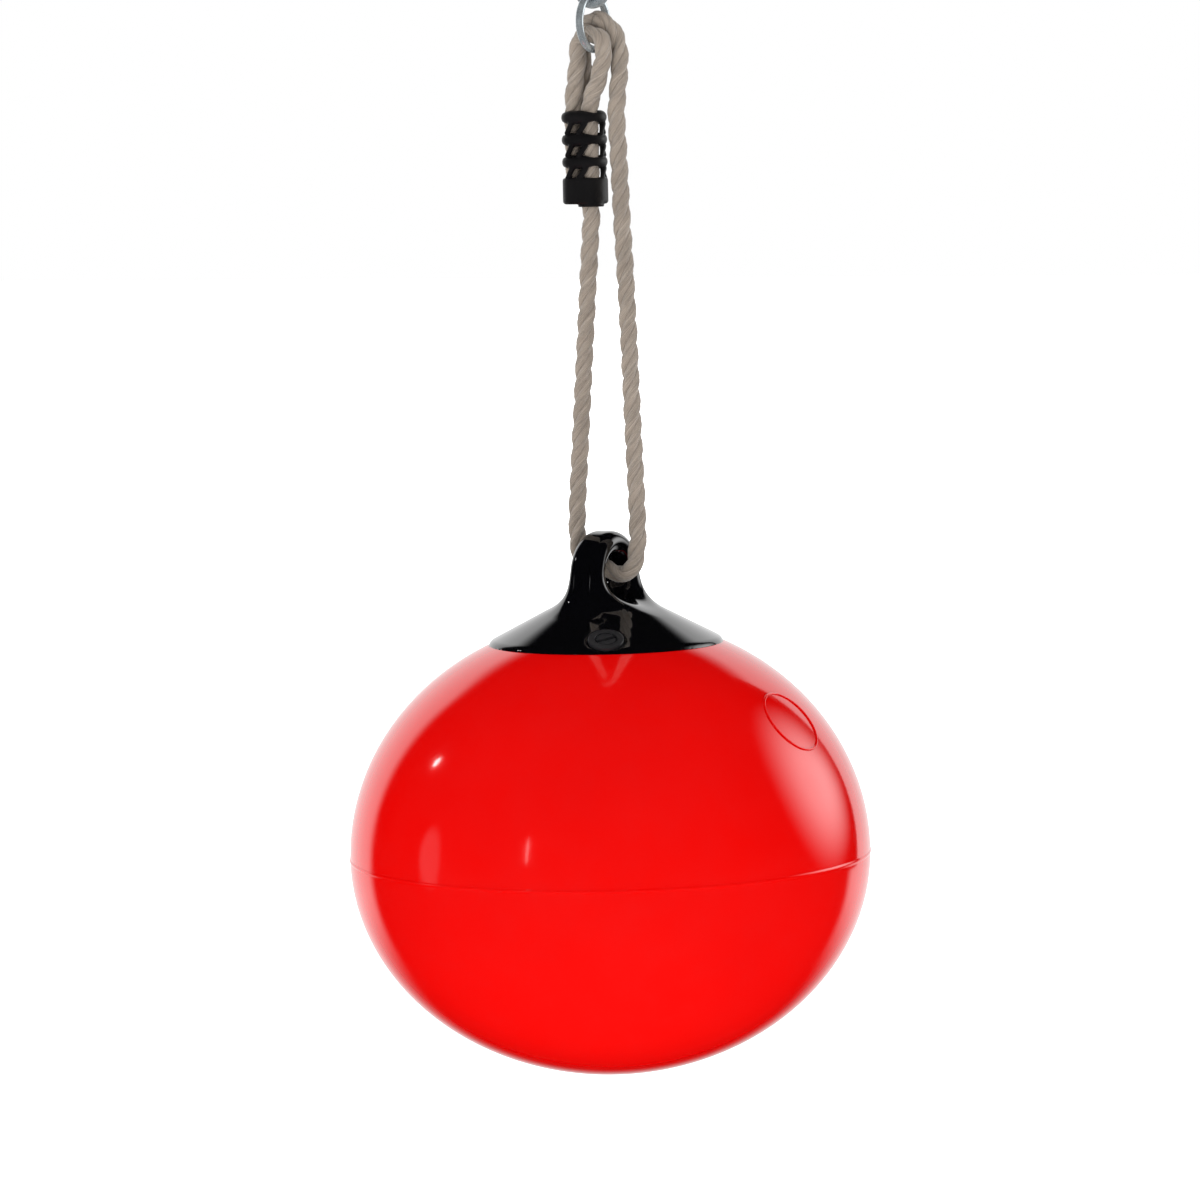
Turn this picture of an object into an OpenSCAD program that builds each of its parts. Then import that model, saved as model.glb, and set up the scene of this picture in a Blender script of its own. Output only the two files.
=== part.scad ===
// Hanging buoy ball on an adjustable rope loop, with its ring and snap hook.
// Millimetres. The origin is where a support bears inside the top of the snap hook. +Z is up,
// +X runs along the eye's hole, in the plane of the rope loop, and +Y lies in the plane of the eye.

/* [Ball] */
// Outside diameter of the ball at its equator
ball_d = 290; // [270:5:310]
// Depth of the ball below its equator
ball_below = 122.5; // [115:0.5:130]
// Wall thickness of the blown shell
shell_wall = 2.8; // [2:0.1:4]

/* [Cap] */
// Radius of the eye's outside
eye_r = 25; // [24:0.5:27]
// Radius of the eye's hole
eye_hole_r = 10.5; // [10.5:0.1:11.5]
// Thickness of the eye along its hole
eye_thick = 21; // [19:0.5:21]

/* [Valve] */
// Distance of the valve from the ball's axis
valve_radius = 55; // [54:0.5:56]
// Direction of the valve round the ball's axis, in degrees from +X
valve_azimuth = -60; // [-75:5:-45]

/* [Rope] */
// Diameter of the rope
rope_d = 10; // [8:0.5:10]

/* [Adjuster] */
// Diameter of the adjuster's discs and barrel
adjuster_d = 25; // [24.5:0.5:26]
// Thickness of each disc
disc_h = 7.5; // [6.5:0.5:8]
// Distance from one disc to the next
disc_pitch = 12.2; // [12:0.1:12.4]

/* [Ring] */
// Outside diameter of the ring
ring_d = 34; // [33.5:0.1:34.5]
// Wire diameter of the ring
ring_wire_d = 4.5; // [4:0.1:4.5]

/* [Snap hook] */
// Outside length of the snap hook
hook_l = 50; // [48:0.5:51]
// Wire diameter of the snap hook
hook_wire_d = 5; // [4.8:0.1:5]

/* [Hidden] */
$fn = 64;
eps = 0.01;

// Levels
equator_z = -511.2;
eye_z = equator_z + 154.5;

// Ball outline: two half ellipses that meet at the equator
ball_above = 131.5;
outline_steps = 16;
crown_angle = 88;

// Cap outline, as radius and height above the equator, from its border up to the eye's root
cap_outline = [
    [0, 100], [65.2, 100], [65.2, 117.9], [63.8, 119.6], [58, 122.8], [51, 126.6],
    [44, 130.2], [37.5, 133.4], [31, 137], [26.5, 140.4], [20, 142.8], [0, 143.4],
];
eye_flare_r = 5;
eye_round_r = 7;
quarter_steps = 6;

// Valve: heights are along its own axis, from the surface of the cap
valve_tilt = 26.6;
valve_height = 124.3;
insert_r = 6.8;
insert_depth = 15;
flange_r = 9.8;
flange_top = 1;
flange_bottom = -1.5;
recess_r = 6.1;
recess_floor = -2.5;
screw_head_r = 5.7;
screw_head_top = 0.7;
screw_head_bottom = -1.9;
screw_shank_r = 3.5;
screw_bore_r = 3.58;
screw_end = -12.5;
slot_w = 1.6;
slot_depth = 1.5;
seal_r = 5.5;
seal_bore_r = 3.7;
seal_gap = 0.1;
press_gap = 0.05;

// Snap hook
hook_bend_r = 9;
hook_inner_bottom = hook_wire_d - hook_l + hook_wire_d;
hook_bottom_centre = hook_inner_bottom - hook_wire_d / 2 + hook_bend_r;
hook_top_centre = hook_wire_d / 2 - hook_bend_r;
gate_pivot_z = hook_bottom_centre + 4.5;
gate_top = hook_top_centre - 2.6;
gate_slot = 2.2;
tongue_w = 2;
tongue_half = 2.1;
pin_r = 0.8;
pin_gap = 0.03;
latch_z = gate_top - 3;
latch_gap = 0.35;
latch_slot_depth = 6;
spring_r = 1.5;
spring_bore_r = 1;
spring_l = 7;
spring_z = gate_pivot_z + 5;

// Ring
ring_gap = 0.15;
ring_r = (ring_d - ring_wire_d) / 2;
ring_z = hook_inner_bottom + ring_wire_d / 2 + ring_gap - ring_r;

// Adjuster: the places of the three strands in it, round its axis
adjuster_x = -7;
adjuster_top = -100.3;
strand_places = [[-12.1, -2.95], [-1.9, -2.95], [-7, 5.9]];
through_strand = 1;
disc_count = 3;
rim_r = adjuster_d / 2 - 0.6;
rim_step = 1.5;
barrel_h = 14.6;
barrel_top = adjuster_top - disc_count * disc_pitch;
barrel_bottom = barrel_top - barrel_h;
collar_r = 7.2;
collar_h = 1.5;
strand_bore_r = rope_d / 2 + 0.3;
core_bore_r = 1.8;
pocket_floor = -146.3;
strut_angles = [for (gap = [30, 150, 270], side = [-22, 22]) gap + side];
strut_r = 0.9;
strut_place_r = 10.8;

// Rope: the middle of the rope, by hand-chosen points
first_turn = [
    [-12.1, -2.95, -146], [-12.1, -2.95, -125], [-12.1, -2.95, -101], [-11, -2.95, -88],
    [-8.9, -3, -76], [-8.1, -3, -67.1], [-7.1, -3, -62.6], [-3.9, -3, -59.8], [0, -3, -58.7],
    [3.9, -3, -59.8], [7.1, -3, -62.6], [8.1, -3, -67.1], [6.8, -3, -75], [3.6, -3, -85],
    [0, -2.95, -93], [-1.7, -2.95, -98.5], [-1.9, -2.95, -101.5], [-1.9, -2.95, -125],
    [-1.9, -2.95, -153],
];
second_turn = [
    [-7, 5.9, -146], [-7, 5.9, -125], [-7, 5.9, -101], [-8, 7.2, -88], [-10.4, 7.5, -76],
    [-11.8, 7.1, -67], [-10.6, 6.3, -59.5], [-7.4, 5, -54], [-3.4, 4.3, -51.3],
    [0, 4.2, -50.7], [3.4, 4.8, -51.7], [7, 5.9, -55], [10.1, 7, -60], [12, 7, -66.5],
    [13.2, 5.6, -75], [13.6, 2.4, -88], [13.4, 0.4, -101], [14.4, 0, -125], [15.4, 0, -153],
];
left_leg = [
    [-1.9, -2.95, -153], [-1.9, -2.95, -158], [-2.9, -2.9, -169.6], [-6, -2.3, -203.6],
    [-10, -1.5, -247.4], [-13.9, -0.7, -291.3], [-16.3, -0.1, -316.6], [-16.8, 0, -325.3],
    [-16.8, 0, -330.2],
];
right_leg = [
    [15.4, 0, -153], [15.7, 0, -161.4], [17, 0, -186.1], [18.6, 0, -228], [19.9, 0, -271.8],
    [21.2, 0, -308.8], [21.6, 0, -323.4], [21.6, 0, -330.2],
];
bight = [
    [-16.8, 0, -330.2], [-16.8, 0, -335.2], [-16.2, 0, -340.7], [-14.2, 0, -346.7],
    [-10.4, 0, -350.4], [-5.5, 0, -351.6], [0, 0, -352.2], [5, 0, -353.8], [10, 0, -355.5],
    [14.8, 0, -354.8], [18.8, 0, -349.7], [21, 0, -341.7], [21.6, 0, -335.2], [21.6, 0, -330.2],
];
rope_sides = 12;

function unit(v) = v / norm(v);

// Direction of a route at its point i
function heading(route, i) =
    unit(route[min(i + 1, len(route) - 1)] - route[max(i - 1, 0)]);

// Points round the route at its point i, in the plane across it
function ring_points(route, i, r) =
    let (along = heading(route, i))
    let (side = unit(cross(along, [0, 1, 0])))
    let (up = cross(side, along))
    [for (k = [0 : rope_sides - 1])
        route[i] + r * (cos(360 * k / rope_sides) * side + sin(360 * k / rope_sides) * up)];

// Quarter of an ellipse with the half axes a and b, from the angle start to the angle stop
function ellipse_arc(a, b, start, stop) =
    [for (i = [0 : outline_steps])
        let (angle = start + (stop - start) * i / outline_steps)
        [a * cos(angle), b * sin(angle)]];

// Outline of the ball, brought in by inset, with a small flat at its top
function ball_outline(inset) = concat(
    ellipse_arc(ball_d / 2 - inset, ball_below - inset, -90, 0),
    ellipse_arc(ball_d / 2 - inset, ball_above - inset, 0, crown_angle),
    [[0, (ball_above - inset) * sin(crown_angle)]]
);

// Cylinder of radius r from the height low to the height high
module post(r, low, high) {
    translate([0, 0, low])
        cylinder(r = r, h = high - low);
}

// Children turned to stand along the X axis
module along_x() {
    rotate([0, 90, 0])
        children();
}

// Cylinder of radius r and length l along the Y axis, round the origin
module cross_pin(r, l) {
    rotate([90, 0, 0])
        cylinder(r = r, h = l, center = true);
}

// Half of a torus in the XZ plane, above or below the origin
module wire_bow(bend_r, wire_r, upper) {
    rotate([90, 0, 0])
        rotate([0, 0, upper ? 0 : 180])
            rotate_extrude(angle = 180)
                translate([bend_r, 0])
                    circle(r = wire_r);
}

// Tube along a route, with flat ends
module rope_tube(route) {
    last = len(route) - 1;
    rings = [for (i = [0 : last]) ring_points(route, i, rope_d / 2)];
    points = [for (one = rings) each one];
    sides = [for (i = [0 : last - 1], k = [0 : rope_sides - 1])
        let (next = (k + 1) % rope_sides)
        [i * rope_sides + k, i * rope_sides + next, (i + 1) * rope_sides + next,
            (i + 1) * rope_sides + k]];
    first_end = [for (k = [rope_sides - 1 : -1 : 0]) k];
    last_end = [for (k = [0 : rope_sides - 1]) last * rope_sides + k];
    polyhedron(points = points, faces = concat(sides, [first_end, last_end]));
}

// Children placed on the valve's axis, which stands square to the cap's slope
module at_valve() {
    rotate([0, 0, valve_azimuth])
        translate([valve_radius, 0, equator_z + valve_height])
            rotate([0, valve_tilt, 0])
                children();
}

// Disc of the adjuster, whose edges are stepped in
module stepped_disc(low, high) {
    post(rim_r, low, high);
    post(adjuster_d / 2, low + rim_step, high - rim_step);
}

module hook_body() {
    wire_r = hook_wire_d / 2;
    color("gainsboro") {
        translate([0, 0, hook_top_centre])
            wire_bow(hook_bend_r, wire_r, true);
        translate([0, 0, hook_bottom_centre])
            wire_bow(hook_bend_r, wire_r, false);
        translate([-hook_bend_r, 0, 0])
            post(wire_r, hook_bottom_centre - eps, hook_top_centre + eps);
        translate([hook_bend_r, 0, 0]) {
            post(wire_r, hook_bottom_centre - eps, gate_pivot_z - wire_r - 0.4);
            gate_tongue();
            post(wire_r, gate_top + 0.4, hook_top_centre + eps);
            latch_nose();
        }
    }
}

// Flat tongue that the gate's fork turns on
module gate_tongue() {
    difference() {
        union() {
            translate([-tongue_half, -tongue_w / 2, hook_bottom_centre])
                cube([2 * tongue_half, tongue_w, gate_pivot_z - hook_bottom_centre]);
            translate([0, 0, gate_pivot_z])
                cross_pin(tongue_half, tongue_w);
        }
        translate([0, 0, gate_pivot_z])
            cross_pin(pin_r + pin_gap, tongue_w + 1);
    }
}

// Flat nose with the notch that the latch pin swings into
module latch_nose() {
    nose_l = gate_top + 0.4 - latch_z + pin_r + 1.6;
    notch_h = 2 * (pin_r + latch_gap);
    difference() {
        translate([-1.5, -tongue_w / 2, gate_top + 0.4 + eps - nose_l])
            cube([3, tongue_w, nose_l]);
        translate([0, 0, latch_z])
            cross_pin(notch_h / 2, tongue_w + 1);
        translate([-2, -tongue_w, latch_z - notch_h / 2])
            cube([2, 2 * tongue_w, notch_h]);
    }
}

module hook_gate() {
    wire_r = hook_wire_d / 2;
    color("silver")
        translate([hook_bend_r, 0, 0])
            difference() {
                union() {
                    post(wire_r, gate_pivot_z, gate_top);
                    intersection() {
                        translate([0, 0, gate_pivot_z])
                            cross_pin(wire_r, hook_wire_d);
                        post(wire_r, gate_pivot_z - hook_wire_d, gate_pivot_z + 1);
                    }
                }
                translate([-hook_wire_d, -gate_slot / 2, gate_pivot_z - hook_wire_d])
                    cube([2 * hook_wire_d, gate_slot, hook_wire_d + tongue_half + 0.5]);
                translate([-hook_wire_d, -gate_slot / 2, gate_top - latch_slot_depth])
                    cube([2 * hook_wire_d, gate_slot, latch_slot_depth + 1]);
                translate([0, 0, gate_pivot_z])
                    cross_pin(pin_r, hook_wire_d + 1);
                translate([0, 0, latch_z])
                    cross_pin(pin_r, hook_wire_d + 1);
                post(spring_r + press_gap, spring_z - press_gap, spring_z + spring_l + press_gap);
            }
}

module gate_pivot_pin() {
    color("darkgray")
        translate([hook_bend_r, 0, gate_pivot_z])
            cross_pin(pin_r, hook_wire_d - 0.6);
}

module gate_latch_pin() {
    color("darkgray")
        translate([hook_bend_r, 0, latch_z])
            cross_pin(pin_r, hook_wire_d - 0.6);
}

module gate_spring() {
    color("dimgray")
        translate([hook_bend_r, 0, 0])
            difference() {
                post(spring_r, spring_z, spring_z + spring_l);
                post(spring_bore_r, spring_z - 1, spring_z + spring_l + 1);
            }
}

module ring() {
    color("lightsteelblue")
        translate([0, 0, ring_z])
            along_x()
                rotate_extrude()
                    translate([ring_r, 0])
                        circle(r = ring_wire_d / 2);
}

module rope_first_turn() {
    color("tan") rope_tube(first_turn);
}

module rope_second_turn() {
    color("tan") rope_tube(second_turn);
}

module rope_left_leg() {
    color("tan") rope_tube(left_leg);
}

module rope_right_leg() {
    color("tan") rope_tube(right_leg);
}

module rope_bight() {
    color("tan") rope_tube(bight);
}

// Thin struts from one disc to the next
module struts(low, high) {
    for (angle = strut_angles)
        rotate([0, 0, angle])
            translate([strut_place_r, 0, 0])
                post(strut_r, low - 1, high + 1);
}

module adjuster() {
    color([0.03, 0.03, 0.03])
        difference() {
            union() {
                translate([adjuster_x, 0, 0]) {
                    for (i = [0 : disc_count - 1]) {
                        top = adjuster_top - i * disc_pitch;
                        stepped_disc(top - disc_h, top);
                        struts(top - disc_pitch, top - disc_h);
                    }
                    stepped_disc(barrel_bottom, barrel_top);
                }
                translate([strand_places[through_strand].x, strand_places[through_strand].y, 0])
                    post(collar_r, barrel_bottom - collar_h, barrel_bottom + 1);
            }
            for (place = strand_places)
                translate([place.x, place.y, 0])
                    post(strand_bore_r, pocket_floor, adjuster_top + 1);
            translate([adjuster_x, 0, 0])
                post(core_bore_r, pocket_floor, adjuster_top + 1);
            translate([strand_places[through_strand].x, strand_places[through_strand].y, 0])
                post(strand_bore_r, barrel_bottom - collar_h - 1, adjuster_top);
        }
}

module ball_shell() {
    color("red")
        difference() {
            translate([0, 0, equator_z])
                rotate_extrude()
                    polygon(ball_outline(0));
            translate([0, 0, equator_z])
                rotate_extrude()
                    polygon(ball_outline(shell_wall));
            at_valve()
                post(insert_r + press_gap, -insert_depth - 5, 5);
        }
}

// Points of a quarter circle round the point centre, from the angle start
function quarter(centre, r, start) =
    [for (i = [0 : quarter_steps])
        let (angle = start + 90 * i / quarter_steps)
        centre + r * [cos(angle), sin(angle)]];

// Section of the eye: a ring's section with a rounded outside and a flared hole
module eye_section() {
    half = eye_thick / 2;
    inner = eye_hole_r + eye_flare_r;
    outer = eye_r - eye_round_r;
    polygon(concat(
        quarter([outer, half - eye_round_r], eye_round_r, 0),
        quarter([inner, half - eye_flare_r], eye_flare_r, 90),
        quarter([inner, eye_flare_r - half], eye_flare_r, 180),
        quarter([outer, eye_round_r - half], eye_round_r, 270)
    ));
}

module rope_eye_cap() {
    color([0.02, 0.02, 0.02])
        difference() {
            union() {
                translate([0, 0, equator_z])
                    rotate_extrude()
                        polygon(cap_outline);
                translate([0, 0, eye_z])
                    along_x()
                        rotate_extrude()
                            eye_section();
            }
            translate([0, 0, equator_z])
                rotate_extrude()
                    polygon(ball_outline(0));
            at_valve() {
                post(insert_r + press_gap, -insert_depth - 5, 5);
                post(flange_r + press_gap, flange_bottom, 5);
            }
        }
}

module valve_insert() {
    color([0.06, 0.06, 0.06])
        at_valve()
            difference() {
                union() {
                    post(insert_r, -insert_depth, 0);
                    post(flange_r, flange_bottom, flange_top);
                }
                post(recess_r, recess_floor, flange_top + 1);
                post(screw_bore_r, -insert_depth - 1, 0);
            }
}

module valve_seal() {
    color("black")
        at_valve()
            difference() {
                post(seal_r, recess_floor + seal_gap, screw_head_bottom - seal_gap);
                post(seal_bore_r, recess_floor - 1, 0);
            }
}

module valve_screw() {
    color([0.1, 0.1, 0.1])
        at_valve()
            difference() {
                union() {
                    post(screw_head_r, screw_head_bottom, screw_head_top);
                    post(screw_shank_r, screw_end, screw_head_bottom + eps);
                }
                translate([-screw_head_r, -slot_w / 2, screw_head_top - slot_depth])
                    cube([2 * screw_head_r, slot_w, slot_depth + 1]);
            }
}

hook_body();
hook_gate();
gate_pivot_pin();
gate_latch_pin();
gate_spring();
ring();
rope_first_turn();
rope_second_turn();
rope_left_leg();
rope_right_leg();
rope_bight();
adjuster();
ball_shell();
rope_eye_cap();
valve_insert();
valve_seal();
valve_screw();
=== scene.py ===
"""Looks of the hanging buoy ball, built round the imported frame."""

import math

import bpy
import numpy as np
from mathutils import Matrix, Vector


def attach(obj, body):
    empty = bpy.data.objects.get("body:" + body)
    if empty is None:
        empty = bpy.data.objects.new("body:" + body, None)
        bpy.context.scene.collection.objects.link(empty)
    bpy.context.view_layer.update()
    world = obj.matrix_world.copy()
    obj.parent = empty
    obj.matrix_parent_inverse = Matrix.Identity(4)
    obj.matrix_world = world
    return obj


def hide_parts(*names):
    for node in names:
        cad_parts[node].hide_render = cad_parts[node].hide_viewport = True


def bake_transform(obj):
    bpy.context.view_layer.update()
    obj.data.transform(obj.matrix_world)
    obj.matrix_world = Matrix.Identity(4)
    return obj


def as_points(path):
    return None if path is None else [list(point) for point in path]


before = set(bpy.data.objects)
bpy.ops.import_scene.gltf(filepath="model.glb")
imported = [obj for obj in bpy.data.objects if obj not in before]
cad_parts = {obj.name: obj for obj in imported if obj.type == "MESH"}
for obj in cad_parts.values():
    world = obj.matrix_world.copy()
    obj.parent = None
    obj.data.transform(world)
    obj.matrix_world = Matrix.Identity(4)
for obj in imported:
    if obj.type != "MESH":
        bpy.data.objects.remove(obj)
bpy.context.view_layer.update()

MM = 0.001

# ---------------------------------------------------------------- sizes, in millimetres

# Levels and outline of the ball, as in the CAD source
EQUATOR_Z = -511.2
BALL_R = 145.0
BALL_BELOW = 122.5
BALL_ABOVE = 131.5

# The middle of the rope, as in the CAD source
FIRST_TURN = [
    (-12.1, -2.95, -146), (-12.1, -2.95, -125), (-12.1, -2.95, -101), (-11, -2.95, -88),
    (-8.9, -3, -76), (-8.1, -3, -67.1), (-7.1, -3, -62.6), (-3.9, -3, -59.8), (0, -3, -58.7),
    (3.9, -3, -59.8), (7.1, -3, -62.6), (8.1, -3, -67.1), (6.8, -3, -75), (3.6, -3, -85),
    (0, -2.95, -93), (-1.7, -2.95, -98.5), (-1.9, -2.95, -101.5), (-1.9, -2.95, -125),
    (-1.9, -2.95, -153),
]
SECOND_TURN = [
    (-7, 5.9, -146), (-7, 5.9, -125), (-7, 5.9, -101), (-8, 7.2, -88), (-10.4, 7.5, -76),
    (-11.8, 7.1, -67), (-10.6, 6.3, -59.5), (-7.4, 5, -54), (-3.4, 4.3, -51.3),
    (0, 4.2, -50.7), (3.4, 4.8, -51.7), (7, 5.9, -55), (10.1, 7, -60), (12, 7, -66.5),
    (13.2, 5.6, -75), (13.6, 2.4, -88), (13.4, 0.4, -101), (14.4, 0, -125), (15.4, 0, -153),
]
LEFT_LEG = [
    (-1.9, -2.95, -153), (-1.9, -2.95, -158), (-2.9, -2.9, -169.6), (-6, -2.3, -203.6),
    (-10, -1.5, -247.4), (-13.9, -0.7, -291.3), (-16.3, -0.1, -316.6), (-16.8, 0, -325.3),
    (-16.8, 0, -330.2),
]
RIGHT_LEG = [
    (15.4, 0, -153), (15.7, 0, -161.4), (17, 0, -186.1), (18.6, 0, -228), (19.9, 0, -271.8),
    (21.2, 0, -308.8), (21.6, 0, -323.4), (21.6, 0, -330.2),
]
BIGHT = [
    (-16.8, 0, -330.2), (-16.8, 0, -335.2), (-16.2, 0, -340.7), (-14.2, 0, -346.7),
    (-10.4, 0, -350.4), (-5.5, 0, -351.6), (0, 0, -352.2), (5, 0, -353.8), (10, 0, -355.5),
    (14.8, 0, -354.8), (18.8, 0, -349.7), (21, 0, -341.7), (21.6, 0, -335.2), (21.6, 0, -330.2),
]


def mm(*values):
    """A point given in millimetres, in metres."""
    return Vector(values) * MM


# ---------------------------------------------------------------- camera

# Millimetres, degrees
CAMERA_AZIMUTH = 30.0
CAMERA_AWAY = 2690.0
CAMERA_Z = EQUATOR_Z + 393.0
CAMERA_TILT = 5.35
CAMERA_PAN = 0.06
CAMERA_ROLL = -1.2
CAMERA_LENS = 146.4
SENSOR_W = 36.0


def make_camera():
    data = bpy.data.cameras.new("camera")
    data.sensor_width = SENSOR_W
    data.lens = CAMERA_LENS
    camera = bpy.data.objects.new("camera", data)
    bpy.context.scene.collection.objects.link(camera)
    azimuth = math.radians(CAMERA_AZIMUTH)
    aside, forward = CAMERA_AWAY * math.sin(azimuth), CAMERA_AWAY * math.cos(azimuth)
    camera.location = mm(aside, -forward, CAMERA_Z)
    look = (
        Matrix.Rotation(azimuth + math.radians(CAMERA_PAN), 4, "Z")
        @ Matrix.Rotation(math.radians(90 - CAMERA_TILT), 4, "X")
        @ Matrix.Rotation(math.radians(CAMERA_ROLL), 4, "Z")
    )
    camera.rotation_euler = look.to_euler()
    bpy.context.scene.camera = camera


# ---------------------------------------------------------------- mesh helpers


def new_object(name, mesh, material, smooth=True):
    piece = bpy.data.objects.new(name, mesh)
    bpy.context.scene.collection.objects.link(piece)
    mesh.materials.append(material)
    mesh.polygons.foreach_set("use_smooth", [smooth] * len(mesh.polygons))
    return piece


def mesh_from(name, points, faces):
    mesh = bpy.data.meshes.new(name)
    mesh.from_pydata([tuple(p) for p in points], [], [tuple(f) for f in faces])
    mesh.update()
    return mesh


def grid_faces(rows, columns, closed=True):
    """Quads of a sheet of rows by columns points, closed round its columns."""
    last = columns if closed else columns - 1
    return [
        (i * columns + k, i * columns + (k + 1) % columns,
         (i + 1) * columns + (k + 1) % columns, (i + 1) * columns + k)
        for i in range(rows - 1) for k in range(last)
    ]


def set_uv(mesh, uv_of_vertex, name="UVMap"):
    """Gives each face corner its vertex's (u, v)."""
    layer = mesh.uv_layers.new(name=name)
    corners = np.empty(len(mesh.loops), np.int32)
    mesh.loops.foreach_get("vertex_index", corners)
    layer.data.foreach_set("uv", np.asarray(uv_of_vertex, np.float32)[corners].ravel())


# ---------------------------------------------------------------- material helpers


class Nodes:
    """A material's node tree, with short calls to add and join nodes."""

    def __init__(self, name):
        self.material = bpy.data.materials.new(name)
        self.material.use_nodes = True
        self.tree = self.material.node_tree
        self.shader = self.tree.nodes["Principled BSDF"]

    def add(self, kind, **settings):
        node = self.tree.nodes.new(kind)
        for key, value in settings.items():
            if hasattr(node, key):
                setattr(node, key, value)
            else:
                node.inputs[key.replace("_", " ")].default_value = value
        return node

    def join(self, output, target):
        self.tree.links.new(output, target)

    def set(self, **values):
        for key, value in values.items():
            self.shader.inputs[key.replace("_", " ")].default_value = value

    def coords(self, kind="Object"):
        return self.add("ShaderNodeTexCoord").outputs[kind]

    def noise(self, vector, scale, detail=3.0, roughness=0.5):
        node = self.add("ShaderNodeTexNoise", Scale=scale, Detail=detail, Roughness=roughness)
        self.join(vector, node.inputs["Vector"])
        return node.outputs["Fac"]

    def ramp(self, value, stops):
        node = self.add("ShaderNodeValToRGB")
        elements = node.color_ramp.elements
        while len(elements) < len(stops):
            elements.new(0.5)
        for element, (place, colour) in zip(elements, stops, strict=True):
            element.position = place
            element.color = (*colour, 1.0) if len(colour) == 3 else colour
        self.join(value, node.inputs["Fac"])
        return node.outputs["Color"]

    def scaled(self, value, low, high):
        node = self.add("ShaderNodeMapRange")
        node.inputs["To Min"].default_value = low
        node.inputs["To Max"].default_value = high
        self.join(value, node.inputs["Value"])
        return node.outputs["Result"]

    def multiplied(self, a, b):
        mix = self.add("ShaderNodeMix", data_type="RGBA", blend_type="MULTIPLY")
        mix.inputs["Factor"].default_value = 1.0
        self.join(a, mix.inputs["A"])
        self.join(b, mix.inputs["B"])
        return mix.outputs["Result"]

    def bump(self, height, strength, distance):
        """Raises the shader's surface by a height, at most distance metres."""
        node = self.add("ShaderNodeBump", Strength=strength, Distance=distance)
        self.join(height, node.inputs["Height"])
        self.join(node.outputs["Normal"], self.shader.inputs["Normal"])


def grey(level):
    return (level, level, level)


# ---------------------------------------------------------------- materials


def rope_material():
    """Hemp-look fibre: yarns along each strand, flecked, and darkened in the grooves by painted
    shade.
    """
    n = Nodes("rope_fibre")
    uv = n.add("ShaderNodeUVMap", uv_map="yarn").outputs["UV"]
    groove_shade = n.add("ShaderNodeAttribute", attribute_name="groove_shade").outputs["Fac"]
    place = n.coords()
    yarn = n.add("ShaderNodeTexWave", wave_type="BANDS", bands_direction="X", Scale=1.0,
                 Distortion=1.2, Detail=2.0, Detail_Scale=3.0)
    n.join(uv, yarn.inputs["Vector"])
    stretch = n.add("ShaderNodeMapping")
    stretch.inputs["Scale"].default_value = (5.0, 0.35, 1.0)
    n.join(uv, stretch.inputs["Vector"])
    fibre = n.noise(stretch.outputs["Vector"], 4.0, 4.0, 0.65)
    blotch = n.noise(place, 90.0, 3.0)
    colour = n.ramp(fibre, [(0.25, (0.09, 0.070, 0.054)), (0.5, (0.25, 0.207, 0.168)),
                            (0.75, (0.52, 0.455, 0.39))])
    tone = n.ramp(blotch, [(0.3, grey(0.8)), (0.7, grey(1.0))])
    # Painted shade: the fibre colour is darkened where a strand faces the rope's middle, in the
    # grooves between the strands.
    painted_groove_shade = n.ramp(groove_shade, [(0.1, (0.55, 0.48, 0.42)), (0.6, grey(1.0))])
    n.join(n.multiplied(n.multiplied(colour, tone), painted_groove_shade), n.shader.inputs["Base Color"])
    height = n.add("ShaderNodeMath", operation="ADD")
    n.join(yarn.outputs["Fac"], height.inputs[0])
    n.join(fibre, height.inputs[1])
    n.bump(height.outputs["Value"], 0.7, 0.00022)
    n.set(Roughness=0.85, Sheen_Weight=0.25, Sheen_Roughness=0.5, Specular_IOR_Level=0.25)
    return n.material


def glossy_vinyl(name, colour, colour_dark, roughness, orange_peel, coat):
    """Smooth glossy vinyl with a faint ripple and a slight change of colour."""
    n = Nodes(name)
    place = n.coords()
    drift = n.noise(place, 7.0, 2.0)
    n.join(n.ramp(drift, [(0.3, colour_dark), (0.7, colour)]), n.shader.inputs["Base Color"])
    wear = n.noise(place, 60.0, 4.0, 0.6)
    n.join(n.scaled(wear, roughness * 0.7, roughness * 1.4), n.shader.inputs["Roughness"])
    ripple = n.noise(place, 55.0, 1.5)
    n.bump(ripple, 0.25, orange_peel)
    n.set(Coat_Weight=coat, Coat_Roughness=0.04, Specular_IOR_Level=0.5, IOR=1.5)
    return n.material


def moulded_plastic(name, colour, roughness):
    """Black moulded nylon with a fine grain."""
    n = Nodes(name)
    place = n.coords()
    drift = n.noise(place, 40.0, 2.0)
    light = tuple(min(1.0, c * 1.8) for c in colour)
    n.join(n.ramp(drift, [(0.3, colour), (0.75, light)]), n.shader.inputs["Base Color"])
    grain = n.noise(place, 900.0, 3.0, 0.6)
    n.join(n.scaled(grain, roughness * 0.8, roughness * 1.3), n.shader.inputs["Roughness"])
    n.bump(grain, 0.35, 0.00008)
    n.set(Specular_IOR_Level=0.45)
    return n.material


def zinc_metal(name, colour, roughness):
    """Bright zinc plate: bluish, with drawn streaks and duller spots."""
    n = Nodes(name)
    place = n.coords()
    spots = n.noise(place, 160.0, 4.0, 0.6)
    dull = tuple(c * 0.55 for c in colour)
    n.join(n.ramp(spots, [(0.3, dull), (0.65, colour)]), n.shader.inputs["Base Color"])
    streak = n.noise(place, 700.0, 2.0)
    n.join(n.scaled(spots, roughness * 1.7, roughness * 0.7), n.shader.inputs["Roughness"])
    n.bump(streak, 0.2, 0.00006)
    n.set(Metallic=0.75)
    return n.material


# ---------------------------------------------------------------- rope

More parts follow.
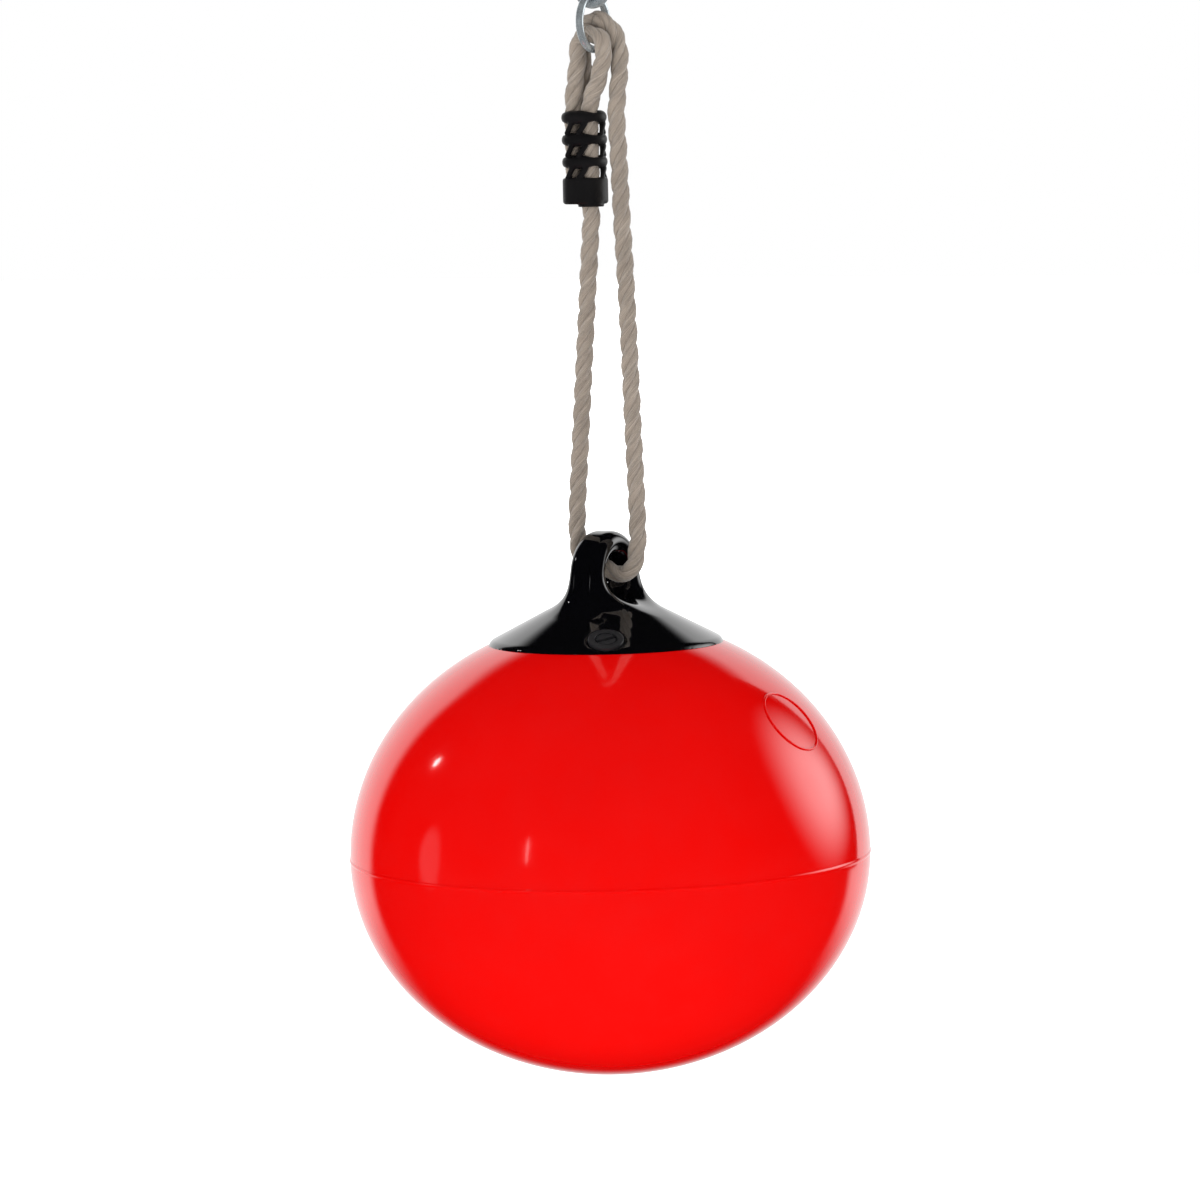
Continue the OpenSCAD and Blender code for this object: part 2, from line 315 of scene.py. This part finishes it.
# Length in which a strand goes once round the rope
LAY = 38.0
STRANDS = 3
STRAND_R = 2.85
# From the rope's middle to a strand's middle
HELIX_R = 2.15
STRAND_SIDES = 20
ROPE_STEP = 0.9
YARNS = 7
# Turns of the yarns round their strand in one lay, and how far each stands out
YARN_TURNS = 2.2
YARN_SWELL = 0.035
CURVE_STEP = 0.25
# Where the rope rests on the ring's bar, as points of the two turns
FIRST_ON_BAR = FIRST_TURN[8]
SECOND_ON_BAR = SECOND_TURN[9]


def curve_between(p0, p1, p2, p3):
    """Close points of a centripetal Catmull-Rom curve from p1 up to p2."""
    knots = [0.0]
    for start, stop in ((p0, p1), (p1, p2), (p2, p3)):
        knots.append(knots[-1] + math.sqrt((stop - start).length))
    t0, t1, t2, t3 = knots
    count = max(4, int((p2 - p1).length / CURVE_STEP))
    for j in range(count):
        t = t1 + (t2 - t1) * j / count
        a1 = p0.lerp(p1, (t - t0) / (t1 - t0))
        a2 = p1.lerp(p2, (t - t1) / (t2 - t1))
        a3 = p2.lerp(p3, (t - t2) / (t3 - t2))
        b1 = a1.lerp(a2, (t - t0) / (t2 - t0))
        b2 = a2.lerp(a3, (t - t1) / (t3 - t1))
        yield b1.lerp(b2, (t - t1) / (t2 - t1))


def smooth_path(points, step):
    """Points every step millimetres along a smooth curve through the given ones."""
    p = [Vector(q) for q in points]
    p = [2 * p[0] - p[1], *p, 2 * p[-1] - p[-2]]
    fine = [tuple(q) for i in range(len(p) - 3) for q in curve_between(*p[i:i + 4])]
    fine = np.array([*fine, tuple(p[-2])])
    along = np.concatenate([[0], np.cumsum(np.linalg.norm(np.diff(fine, axis=0), axis=1))])
    wanted = np.linspace(0, along[-1], int(along[-1] / step) + 1)
    return np.stack([np.interp(wanted, along, fine[:, k]) for k in range(3)], axis=1), wanted


def carried_frames(path):
    """A side and an up vector at each point of a path, turned as little as possible."""
    along = np.gradient(path, axis=0)
    along /= np.linalg.norm(along, axis=1)[:, None]
    side = np.cross(along[0], (0.0, 1.0, 0.0))
    sides = []
    for t in along:
        side = side - t * np.dot(side, t)
        side = side / np.linalg.norm(side)
        sides.append(side)
    sides = np.array(sides)
    return sides, np.cross(along, sides)


def round_section(phi, side, up):
    """A unit circle of directions at each point of a path, in the plane of side and up."""
    return np.cos(phi)[None, :, None] * side[:, None] + np.sin(phi)[None, :, None] * up[:, None]


def strand_mesh_data(path, along, sides, ups, turn):
    """Points, yarn UVs and painted groove shade factor of one strand: 0 where it faces the rope's
    middle.
    """
    angle = 2 * math.pi * (along / LAY + turn / STRANDS)
    radial = np.cos(angle)[:, None] * sides + np.sin(angle)[:, None] * ups
    middle = path + HELIX_R * radial
    heading = np.gradient(middle, axis=0)
    heading /= np.linalg.norm(heading, axis=1)[:, None]
    out = radial - heading * np.sum(radial * heading, axis=1)[:, None]
    out /= np.linalg.norm(out, axis=1)[:, None]
    across = np.cross(heading, out)
    phi = 2 * math.pi * np.arange(STRAND_SIDES) / STRAND_SIDES
    ring = round_section(phi, out, across)
    yarn_phase = YARNS * phi[None, :] - 2 * math.pi * along[:, None] / LAY * YARN_TURNS
    swell = STRAND_R * (1 + YARN_SWELL * np.cos(yarn_phase))
    points = middle[:, None, :] + swell[:, :, None] * ring
    uv = np.stack(np.broadcast_arrays(yarn_phase / (2 * math.pi), along[:, None] / LAY), axis=2)
    # Painted shade factor for the grooves between strands: 1 where the strand faces out, 0 where
    # it faces the rope's middle.
    groove_shade = np.broadcast_to(0.5 + 0.5 * np.cos(phi)[None, :], yarn_phase.shape)
    return points.reshape(-1, 3), uv.reshape(-1, 2), groove_shade.ravel()


def rope_piece(name, path, along, frames, material):
    """The three strands along a path, as one mesh with closed ends."""
    sides, ups = frames
    points, uvs, groove_shades, faces = [], [], [], []
    rows = len(path)
    for strand in range(STRANDS):
        p, uv, groove_shade = strand_mesh_data(path, along, sides, ups, strand)
        base = strand * rows * STRAND_SIDES
        faces += [tuple(base + k for k in f) for f in grid_faces(rows, STRAND_SIDES)]
        faces.append(tuple(base + k for k in reversed(range(STRAND_SIDES))))
        faces.append(tuple(base + (rows - 1) * STRAND_SIDES + k for k in range(STRAND_SIDES)))
        points.append(p)
        uvs.append(uv)
        groove_shades.append(groove_shade)
    mesh = mesh_from(name, np.vstack(points) * MM, faces)
    set_uv(mesh, np.vstack(uvs), "yarn")
    # Carries the painted groove shade factor to the rope's material.
    attribute = mesh.attributes.new("groove_shade", "FLOAT", "POINT")
    attribute.data.foreach_set("value", np.concatenate(groove_shades).astype(np.float32))
    return new_object(name, mesh, material)


def make_rope():
    """The rope in three pieces: both ends, and the run between its two places on the ring."""
    material = rope_material()
    whole = (
        FIRST_TURN + LEFT_LEG[1:] + BIGHT[1:] + RIGHT_LEG[-2::-1] + SECOND_TURN[-2::-1]
    )
    path, along = smooth_path(whole, ROPE_STEP)
    sides, ups = carried_frames(path)
    first_top, second_top = (
        int(np.argmin(np.linalg.norm(path - np.array(place), axis=1)))
        for place in (FIRST_ON_BAR, SECOND_ON_BAR)
    )
    runs = {
        "rope_left_end": (0, first_top + 1),
        "rope_run": (first_top, second_top + 1),
        "rope_right_end": (second_top, len(path)),
    }
    made = {}
    for name, (start, stop) in runs.items():
        part = slice(start, stop)
        made[name] = rope_piece(name, path[part], along[part], (sides[part], ups[part]), material)
    ride_rope(made["rope_run"], made["rope_left_end"], made["rope_right_end"])
    for name, (start, stop) in runs.items():
        declare_cord(made[name], path[start:stop] * MM)


def ride_rope(run, left, right):
    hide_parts("rope_left_leg", "rope_right_leg", "rope_bight")
    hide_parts("rope_first_turn")
    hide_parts("rope_second_turn")
    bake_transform(run)
    for piece in (left, right):
        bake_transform(piece)


def declare_cord(piece, path):
    tuple(path[0])
    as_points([tuple(p) for p in path[::4]] + [tuple(path[-1])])


# ---------------------------------------------------------------- smooth solids

# Off every direction that a tube here runs in
TUBE_UP = (0.31, 0.93, 0.2)
NUDGE = 0.05
SETTLING_PASSES = 3


def smooth_min(a, b, reach):
    mix = np.clip(0.5 + 0.5 * (b - a) / reach, 0, 1)
    return b + (a - b) * mix - reach * mix * (1 - mix)


def smooth_max(a, b, reach):
    return -smooth_min(-a, -b, reach)


def rounded_disc(radial, along, radius, half, rounding):
    """Distance to a disc with rounded edges, from distances off and along its axis."""
    out = np.stack([radial - radius + rounding, np.abs(along) - half + rounding])
    return np.linalg.norm(np.maximum(out, 0), axis=0) + np.minimum(out.max(axis=0), 0) - rounding


def capsule(p, start, stop, radius):
    """Distance to a round bar between two points."""
    start, stop = np.array(start, float), np.array(stop, float)
    run = stop - start
    t = np.clip((p - start) @ run / (run @ run), 0, 1)
    return np.linalg.norm(p - start - t[..., None] * run, axis=-1) - radius


def net_points(value, low, cell):
    """One point in each grid cell that the zero surface crosses, and the grid of their numbers."""
    size = np.array(value.shape) - 1
    place = np.zeros((*size, 3))
    count = np.zeros(size)
    inside = np.zeros(size, int)
    for corner in np.ndindex(2, 2, 2):
        a = value[tuple(slice(c, c + n) for c, n in zip(corner, size))]
        inside += a < 0
        for axis in range(3):
            if corner[axis]:
                continue
            other = np.array(corner) + np.eye(3, dtype=int)[axis]
            b = value[tuple(slice(c, c + n) for c, n in zip(other, size))]
            crossed = (a < 0) != (b < 0)
            t = np.where(crossed, a / np.where(crossed, a - b, 1), 0)
            place += crossed[..., None] * (np.array(corner) + t[..., None] * np.eye(3)[axis])
            count += crossed
    mixed = (inside > 0) & (inside < 8)
    number = np.full(size, -1)
    number[mixed] = np.arange(mixed.sum())
    return low + cell * (np.argwhere(mixed) + place[mixed] / count[mixed][:, None]), number


def net_quads(value, number):
    """The quads that join the points of neighbouring cells round each crossed grid edge."""
    quads = []
    for axis in range(3):
        u, v = np.eye(3, dtype=int)[(axis + 1) % 3], np.eye(3, dtype=int)[(axis + 2) % 3]
        first, second = (np.take(value, range(k, value.shape[axis] - 1 + k), axis) for k in (0, 1))
        edges = np.argwhere((first < 0) != (second < 0))
        around = ((1, 1), (0, 1), (0, 0), (1, 0))
        ring = [number[tuple((edges - a * u - b * v).T)] for a, b in around]
        quad = np.stack(ring, axis=1)
        hollow = value[tuple(edges.T)] >= 0
        quad[hollow] = quad[hollow][:, ::-1]
        quads.append(quad)
    return np.vstack(quads)


def solid_from(name, distance, low, high, cell, material, offset=(0, 0, 0)):
    """The zero surface of a distance function in millimetres, as a smooth closed mesh."""
    low = np.array(low, float)
    axes = [np.arange(a, b + cell, cell) for a, b in zip(low, high)]
    value = distance(np.stack(np.meshgrid(*axes, indexing="ij"), axis=-1))
    points, number = net_points(value, low, cell)
    quads = net_quads(value, number)
    nudges = NUDGE * np.eye(3)
    for _ in range(SETTLING_PASSES):
        rises = [distance(points + h) - distance(points - h) for h in nudges]
        slope = np.stack(rises, axis=1) / (2 * NUDGE)
        step = distance(points) / np.maximum((slope ** 2).sum(axis=1), 0.2)
        points = points - np.clip(step, -cell / 2, cell / 2)[:, None] * slope
    return new_object(name, mesh_from(name, (points + np.array(offset)) * MM, quads), material)


def lathe(name, outline, sides, material, offset=(0, 0, 0)):
    """A closed solid turned from (radius, height) points that start and end on the axis."""
    turn = 2 * math.pi * np.arange(sides) / sides
    rings = [
        np.stack([r * np.cos(turn), r * np.sin(turn), np.full(sides, z)], axis=1)
        for r, z in outline[1:-1]
    ]
    ends = [(0, 0, outline[0][1]), (0, 0, outline[-1][1])]
    points = np.vstack([*rings, ends]) + np.array(offset)
    faces = grid_faces(len(rings), sides)
    bottom = len(rings) * sides
    top = bottom + 1
    faces += [(bottom, (k + 1) % sides, k) for k in range(sides)]
    last = (len(rings) - 1) * sides
    faces += [(top, last + k, last + (k + 1) % sides) for k in range(sides)]
    return new_object(name, mesh_from(name, points * MM, faces), material)


def tube(name, middle, radii, material, closed=False, sides=24):
    """A round bar along points in millimetres, with a radius at each."""
    middle = np.array(middle, float)
    if closed:
        along = np.roll(middle, -1, axis=0) - np.roll(middle, 1, axis=0)
    else:
        along = np.gradient(middle, axis=0)
    along /= np.linalg.norm(along, axis=1)[:, None]
    side = np.cross(along, TUBE_UP)
    side /= np.linalg.norm(side, axis=1)[:, None]
    up = np.cross(side, along)
    phi = 2 * math.pi * np.arange(sides) / sides
    ring = round_section(phi, side, up)
    points = (middle[:, None] + np.array(radii)[:, None, None] * ring).reshape(-1, 3)
    rows = len(middle)
    faces = grid_faces(rows, sides)
    if closed:
        last = (rows - 1) * sides
        faces += [(last + k, last + (k + 1) % sides, (k + 1) % sides, k) for k in range(sides)]
    else:
        faces.append(tuple(reversed(range(sides))))
        faces.append(tuple((rows - 1) * sides + k for k in range(sides)))
    return new_object(name, mesh_from(name, points * MM, faces), material)


# ---------------------------------------------------------------- cap with the rope's eye

CAP_R = 65.2
CONE_TOP = 153.0
CONE_SLOPE = 0.52
DOME_TOP = 143.2
CAP_OVERLAP = 1.5
EYE_UP = 154.5
EYE_R = 25.0
EYE_HALF = 10.5
EYE_ROUND = 7.0
EYE_HOLE_R = 10.5
EYE_HOLE_FLARE = 12.0
EYE_BLEND = 18.0
VALVE_PLACE = np.array((27.5, -47.631, 124.3))
VALVE_AXIS = np.array((0.22388, -0.387771, 0.894154))
FLANGE_R = 9.8


def valve_coordinates(p):
    """Distance from the valve's axis, and the height along it from the cap's slope."""
    from_place = p - VALVE_PLACE
    along = from_place @ VALVE_AXIS
    return np.linalg.norm(from_place - along[..., None] * VALVE_AXIS, axis=-1), along


def cap_distance(p):
    """Distance to the cap: a dome blended into the eye, with a flat seat for the valve."""
    x, y, z = np.moveaxis(p, -1, 0)
    r = np.hypot(x, y)
    slope = (z - (CONE_TOP - CONE_SLOPE * r)) / math.hypot(1, CONE_SLOPE)
    dome = smooth_max(smooth_max(slope, r - CAP_R, 3), z - DOME_TOP, 4)
    round_hole = np.hypot(y, z - EYE_UP)
    eye = rounded_disc(round_hole, x, EYE_R, EYE_HALF, EYE_ROUND)
    body = smooth_min(dome, eye, EYE_BLEND)
    body = smooth_max(body, EYE_HOLE_R - round_hole, EYE_HOLE_FLARE)
    radial, along = valve_coordinates(p)
    spot = rounded_disc(radial, along - 8.6, FLANGE_R + 0.2, 10, 0.3)
    body = smooth_max(body, -spot, 0.8)
    under = BALL_ABOVE * np.sqrt(np.maximum(1 - (r / BALL_R) ** 2, 0)) - CAP_OVERLAP
    return np.maximum(body, under - z)


def make_cap(material):
    cap = solid_from(
        "eye_cap", cap_distance, (-71, -71, 104), (71, 71, 182), 1.1, material, (0, 0, EQUATOR_Z)
    )
    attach(cap, "ball")
    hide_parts("rope_eye_cap")


# ---------------------------------------------------------------- valve


INSERT_R = 6.8
RECESS_R = 6.1
HEAD_R = 5.7
SHANK_R = 3.5
SLOT_HALF = 0.95
SLOT_FLOOR = 0.8
SLOT_ALONG = (0.5, 0.6, 0.2)


def insert_distance(p):
    radial, along = valve_coordinates(p)
    flange = rounded_disc(radial, along + 0.25, FLANGE_R, 1.25, 0.6)
    body = smooth_min(flange, rounded_disc(radial, along + 8, INSERT_R, 7, 0.5), 0.6)
    return smooth_max(body, -rounded_disc(radial, along - 3, RECESS_R, 5.5, 0.3), 0.5)


def screw_distance(p):
    radial, along = valve_coordinates(p)
    head = rounded_disc(radial, along + 0.6, HEAD_R, 1.3, 0.7)
    shank = rounded_disc(radial, along + 7.1, SHANK_R, 5.4, 0.5)
    across = np.abs((p - VALVE_PLACE) @ np.cross(VALVE_AXIS, SLOT_ALONG))
    slot = np.maximum(across - SLOT_HALF, -SLOT_FLOOR - along)
    return smooth_max(smooth_min(head, shank, 0.5), -slot, 0.3)


def make_valve(material):
    middle = VALVE_PLACE - 6.5 * VALVE_AXIS
    for name, distance, body, node in (
        ("valve_flange", insert_distance, "ball", "valve_insert"),
        ("valve_plug", screw_distance, "screw", "valve_screw"),
    ):
        piece = solid_from(
            name, distance, middle - 14, middle + 14, 0.35, material, (0, 0, EQUATOR_Z)
        )
        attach(piece, body)
        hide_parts(node)


# ---------------------------------------------------------------- ball

BALL_SIDES = 160
BALL_RINGS = 64
SEAM_HIGH = 0.35
SEAM_HALF = 1.1
MARK_R = 19.5
MARK_UP = 78.0
MARK_SQUASH = 0.75
MARK_LINE_R = 0.75
MARK_SUNK = 0.35


def ball_radius(z):
    """Radius of the ball at a height above its equator."""
    depth = BALL_ABOVE if z > 0 else BALL_BELOW
    return BALL_R * math.sqrt(max(0.0, 1 - (z / depth) ** 2))


def ball_outline():
    """The ball's half outline from the bottom to the top, with the seam's bead at its equator."""
    angles = np.linspace(-90, 90, BALL_RINGS + 1)
    heights = [
        (BALL_ABOVE if a > 0 else BALL_BELOW) * math.sin(math.radians(a)) for a in angles
    ]
    heights += [k * SEAM_HALF / 4 for k in range(-6, 7) if k]
    outline = []
    for z in sorted(heights):
        bead = SEAM_HIGH * max(0.0, 1 - (z / SEAM_HALF) ** 2)
        outline.append((min(ball_radius(z) - SEAM_HIGH + bead, BALL_R), z))
    outline[0] = (0, -BALL_BELOW)
    outline[-1] = (0, BALL_ABOVE)
    return outline


def make_ball(material):
    ball = lathe("ball", ball_outline(), BALL_SIDES, material, (0, 0, EQUATOR_Z))
    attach(ball, "ball")
    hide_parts("ball_shell")
    make_mark(material)


def make_mark(material):
    """A plain raised oval outline on the ball's shoulder."""
    turn = 2 * math.pi * np.arange(96) / 96
    middle = []
    for t in turn:
        lift = MARK_UP + MARK_SQUASH * MARK_R * math.sin(t)
        y = MARK_R * math.cos(t)
        x = math.sqrt(ball_radius(lift) ** 2 - y ** 2) - MARK_SUNK
        middle.append((x, y, EQUATOR_Z + lift))
    radii = [MARK_LINE_R] * len(middle)
    mark = tube("ball_mark", middle, radii, material, closed=True, sides=12)
    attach(mark, "ball")


# ---------------------------------------------------------------- adjuster

ADJUSTER_X = -7.0
ADJUSTER_TOP = -100.3
ADJUSTER_R = 12.5
DISCS = 3
DISC_PITCH = 12.2
DISC_H = 7.5
BARREL_H = 14.6
POCKET_FLOOR = -146.3
BORE_R = 5.3
CORE_BORE_R = 1.8
COLLAR_R = 7.1
COLLAR_HALF = 1.5
DISC_ROUND = 3.7
BARREL_ROUND = 1.8
# Bores: two blind ones for the rope's ends, and a through one for its run
BLIND_BORES = [(-12.1, -2.95), (-7.0, 5.9)]
THROUGH_BORE = (-1.9, -2.95)
RIB_ANGLES = [gap + side for gap in (30, 150, 270) for side in (-22, 22)]
RIB_PLACE_R = 10.7
RIB_LEAN = 9.0
RIB_R = 1.5


def rib(p, angle, low, high):
    ends = []
    for lean, z in ((-RIB_LEAN, low), (RIB_LEAN, high)):
        turn = math.radians(angle + lean)
        ends.append((ADJUSTER_X + RIB_PLACE_R * math.cos(turn), RIB_PLACE_R * math.sin(turn), z))
    return capsule(p, *ends, RIB_R)


def adjuster_distance(p):
    x, y, z = np.moveaxis(p, -1, 0)
    r = np.hypot(x - ADJUSTER_X, y)
    barrel_top = ADJUSTER_TOP - DISCS * DISC_PITCH
    body = rounded_disc(r, z - barrel_top + BARREL_H / 2, ADJUSTER_R, BARREL_H / 2, BARREL_ROUND)
    for i in range(DISCS):
        top = ADJUSTER_TOP - i * DISC_PITCH
        disc = rounded_disc(r, z - top + DISC_H / 2, ADJUSTER_R, DISC_H / 2, DISC_ROUND)
        body = np.minimum(body, disc)
        for angle in RIB_ANGLES:
            body = smooth_min(body, rib(p, angle, top - DISC_PITCH, top - DISC_H), 1.2)
    left, back = (BORE_R - np.hypot(x - a, y - b) for a, b in BLIND_BORES)
    from_through = np.hypot(x - THROUGH_BORE[0], y - THROUGH_BORE[1])
    collar = rounded_disc(from_through, z - barrel_top + BARREL_H, COLLAR_R, COLLAR_HALF, 0.6)
    body = smooth_min(body, collar, 0.8)
    above_floor = z - POCKET_FLOOR
    bores = (
        np.minimum(left, above_floor), BORE_R - from_through, np.minimum(back, above_floor),
    )
    for bore in bores:
        body = smooth_max(body, bore, 0.8)
    return np.maximum(body, np.minimum(CORE_BORE_R - r, above_floor))


def make_adjuster(material):
    adjuster = solid_from(
        "rope_adjuster", adjuster_distance, (-21, -14, -155), (7, 14, -99), 0.5, material
    )
    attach(adjuster, "adjuster")
    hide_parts("adjuster")


# ---------------------------------------------------------------- ring and hook

RING_R = 14.75
RING_WIRE_R = 2.25
RING_Z = -52.35
WELD_SWELL = 0.05
WELD_ANGLE = 75
WELD_SPREAD = 6


HOOK_NODES = ("hook_body", "hook_gate", "gate_pivot_pin", "gate_latch_pin", "gate_spring")


def make_ring(material):
    """A welded ring: the wire thickens a little where its ends meet."""
    turn = 2 * math.pi * np.arange(120) / 120
    middle = [(0, RING_R * math.sin(t), RING_Z + RING_R * math.cos(t)) for t in turn]
    weld = np.exp(-(((np.degrees(turn) - WELD_ANGLE) / WELD_SPREAD) ** 2))
    radii = RING_WIRE_R * (1 - WELD_SWELL + WELD_SWELL * weld)
    ring = tube("round_ring", middle, radii, material, closed=True)
    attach(ring, "ring")
    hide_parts("ring")


def finish_cad_nodes(zinc, rubber):
    """The frame's hook and valve seal are seen as they are, with their own finishes."""
    finishes = dict.fromkeys(HOOK_NODES, zinc)
    finishes["valve_seal"] = rubber
    for node, material in finishes.items():
        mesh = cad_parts[node].data
        mesh.materials.clear()
        mesh.materials.append(material)


# ---------------------------------------------------------------- light and floor

# The camera's right, and towards the camera, both level
RIGHT = Vector((0.866, 0.5, 0))
TOWARD = Vector((0.5, -0.866, 0))
UP = Vector((0, 0, 1))
BALL_CENTRE = mm(0, 0, EQUATOR_Z)
PANEL_AWAY = 1.8
FLOOR_Z = -1.15
FLOOR_HALF = 30.0


def direction(right, up, toward):
    """A direction given as the camera sees it."""
    return (right * RIGHT + up * UP + toward * TOWARD).normalized()


# The lit backdrop ends where a direction passes from the first number to the second
BACKDROP_EDGES = [(-TOWARD, 0.60, 0.70), (-UP, -0.66, -0.52), (UP, -0.55, -0.2)]
ROOM_GLOW = 0.004
DOME_TOWARD = direction(-0.25, 0.75, 0.75)
DOME_DARK = 0.25
DOME_LIGHT = 1.45


def edged(tree, direction_socket, along, low, high):
    """How far a direction turns from low to high along a unit vector, as 0 to 1."""
    dot = tree.nodes.new("ShaderNodeVectorMath")
    dot.operation = "DOT_PRODUCT"
    dot.inputs[1].default_value = along
    edge = tree.nodes.new("ShaderNodeMapRange")
    edge.interpolation_type = "SMOOTHSTEP"
    edge.inputs["From Min"].default_value = low
    edge.inputs["From Max"].default_value = high
    tree.links.new(direction_socket, dot.inputs[0])
    tree.links.new(dot.outputs["Value"], edge.inputs["Value"])
    return edge.outputs["Result"]


def picked(tree, factor, a, b):
    """The value a where factor is 0 and b where it is 1; each is a number or a socket."""
    mix = tree.nodes.new("ShaderNodeMix")
    for name, value in (("Factor", factor), ("A", a), ("B", b)):
        if isinstance(value, float):
            mix.inputs[name].default_value = value
        else:
            tree.links.new(value, mix.inputs[name])
    return mix.outputs["Result"]


def make_world():
    """A soft dome of light, a lit backdrop for the reflections, and white behind it all."""
    world = bpy.data.worlds.new("studio")
    bpy.context.scene.world = world
    world.cycles.sampling_method = "NONE"
    world.use_nodes = True
    tree = world.node_tree
    tree.nodes.clear()
    coords = tree.nodes.new("ShaderNodeTexCoord").outputs["Generated"]
    backdrop = 1.0
    for along, low, high in BACKDROP_EDGES:
        backdrop = picked(tree, edged(tree, coords, along, low, high), ROOM_GLOW, backdrop)
    dome = picked(tree, edged(tree, coords, DOME_TOWARD, -0.9, 0.9), DOME_DARK, DOME_LIGHT)
    path = tree.nodes.new("ShaderNodeLightPath")
    strength = picked(tree, path.outputs["Is Diffuse Ray"], backdrop, dome)
    strength = picked(tree, path.outputs["Is Camera Ray"], strength, 1.0)
    back = tree.nodes.new("ShaderNodeBackground")
    back.inputs["Color"].default_value = (1, 1, 1, 1)
    out = tree.nodes.new("ShaderNodeOutputWorld")
    tree.links.new(strength, back.inputs["Strength"])
    tree.links.new(back.outputs["Background"], out.inputs["Surface"])


def sheet(name, x, y):
    """A flat rectangle, x and y metres from its middle to its edges."""
    corners = [(-x, -y, 0), (x, -y, 0), (x, y, 0), (-x, y, 0)]
    return mesh_from(name, corners, [(0, 1, 2, 3)])


def panel(name, toward, width, height, strength, softness):
    """A glowing board, softer towards its edges, that only shows in reflections."""
    n = Nodes(name)
    n.tree.nodes.remove(n.shader)
    glow = n.add("ShaderNodeEmission")
    gradient = n.add("ShaderNodeTexGradient", gradient_type="SPHERICAL")
    shift = n.add("ShaderNodeMapping")
    shift.inputs["Location"].default_value = (-1, -1, 0)
    shift.inputs["Scale"].default_value = (2, 2, 0)
    n.join(n.coords("Generated"), shift.inputs["Vector"])
    n.join(shift.outputs["Vector"], gradient.inputs["Vector"])
    fade = n.add("ShaderNodeMapRange", interpolation_type="SMOOTHSTEP")
    fade.inputs["From Max"].default_value = softness
    fade.inputs["To Max"].default_value = strength
    n.join(gradient.outputs["Fac"], fade.inputs["Value"])
    n.join(fade.outputs["Result"], glow.inputs["Strength"])
    n.join(glow.outputs["Emission"], n.tree.nodes["Material Output"].inputs["Surface"])
    board = new_object(name, sheet(name, width / 2, height / 2), n.material)
    board.location = BALL_CENTRE + toward * PANEL_AWAY
    board.rotation_euler = toward.to_track_quat("Z", "Y").to_euler()
    board.visible_camera = False
    board.visible_shadow = False
    board.visible_diffuse = False


def make_floor():
    n = Nodes("floor_pale")
    n.set(Base_Color=(0.9, 0.9, 0.9, 1), Roughness=0.9, Emission_Color=(1, 1, 1, 1),
          Emission_Strength=1.0)
    floor = new_object("floor", sheet("floor", FLOOR_HALF, FLOOR_HALF), n.material)
    floor.location = (0, 0, FLOOR_Z)
    floor.visible_glossy = False


def make_lights():
    make_world()
    make_floor()
    panel("board_right", direction(0.86, 0.29, -0.34), 1.8, 1.9, 2.6, 0.85)
    panel("board_left", direction(-0.99, 0.03, 0.12), 0.45, 0.9, 0.45, 0.4)
    panel("lamp", direction(-0.82, 0.53, -0.2), 0.10, 0.15, 16, 0.6)
    panel("strip", direction(-0.57, 0.19, 0.8), 0.05, 0.5, 4.0, 0.5)


# ---------------------------------------------------------------- build

bpy.context.scene.view_settings.view_transform = "Standard"
make_camera()
make_rope()
vinyl_black = glossy_vinyl(
    "cap_vinyl", colour=(0.002, 0.002, 0.0025), colour_dark=(0.001, 0.001, 0.0015),
    roughness=0.06, orange_peel=0.00008, coat=0.5,
)
vinyl_red = glossy_vinyl(
    "ball_vinyl", colour=(0.61, 0.0008, 0.0003), colour_dark=(0.56, 0.0005, 0.0002),
    roughness=0.10, orange_peel=0.00012, coat=0.4,
)
zinc = zinc_metal("zinc", (0.62, 0.68, 0.71), 0.22)
make_cap(vinyl_black)
make_valve(moulded_plastic("valve_nylon", (0.010, 0.010, 0.011), 0.3))
make_ball(vinyl_red)
make_adjuster(moulded_plastic("adjuster_nylon", (0.004, 0.0035, 0.004), 0.45))
make_ring(zinc)
finish_cad_nodes(zinc, moulded_plastic("seal_rubber", (0.012, 0.012, 0.012), 0.6))
make_lights()
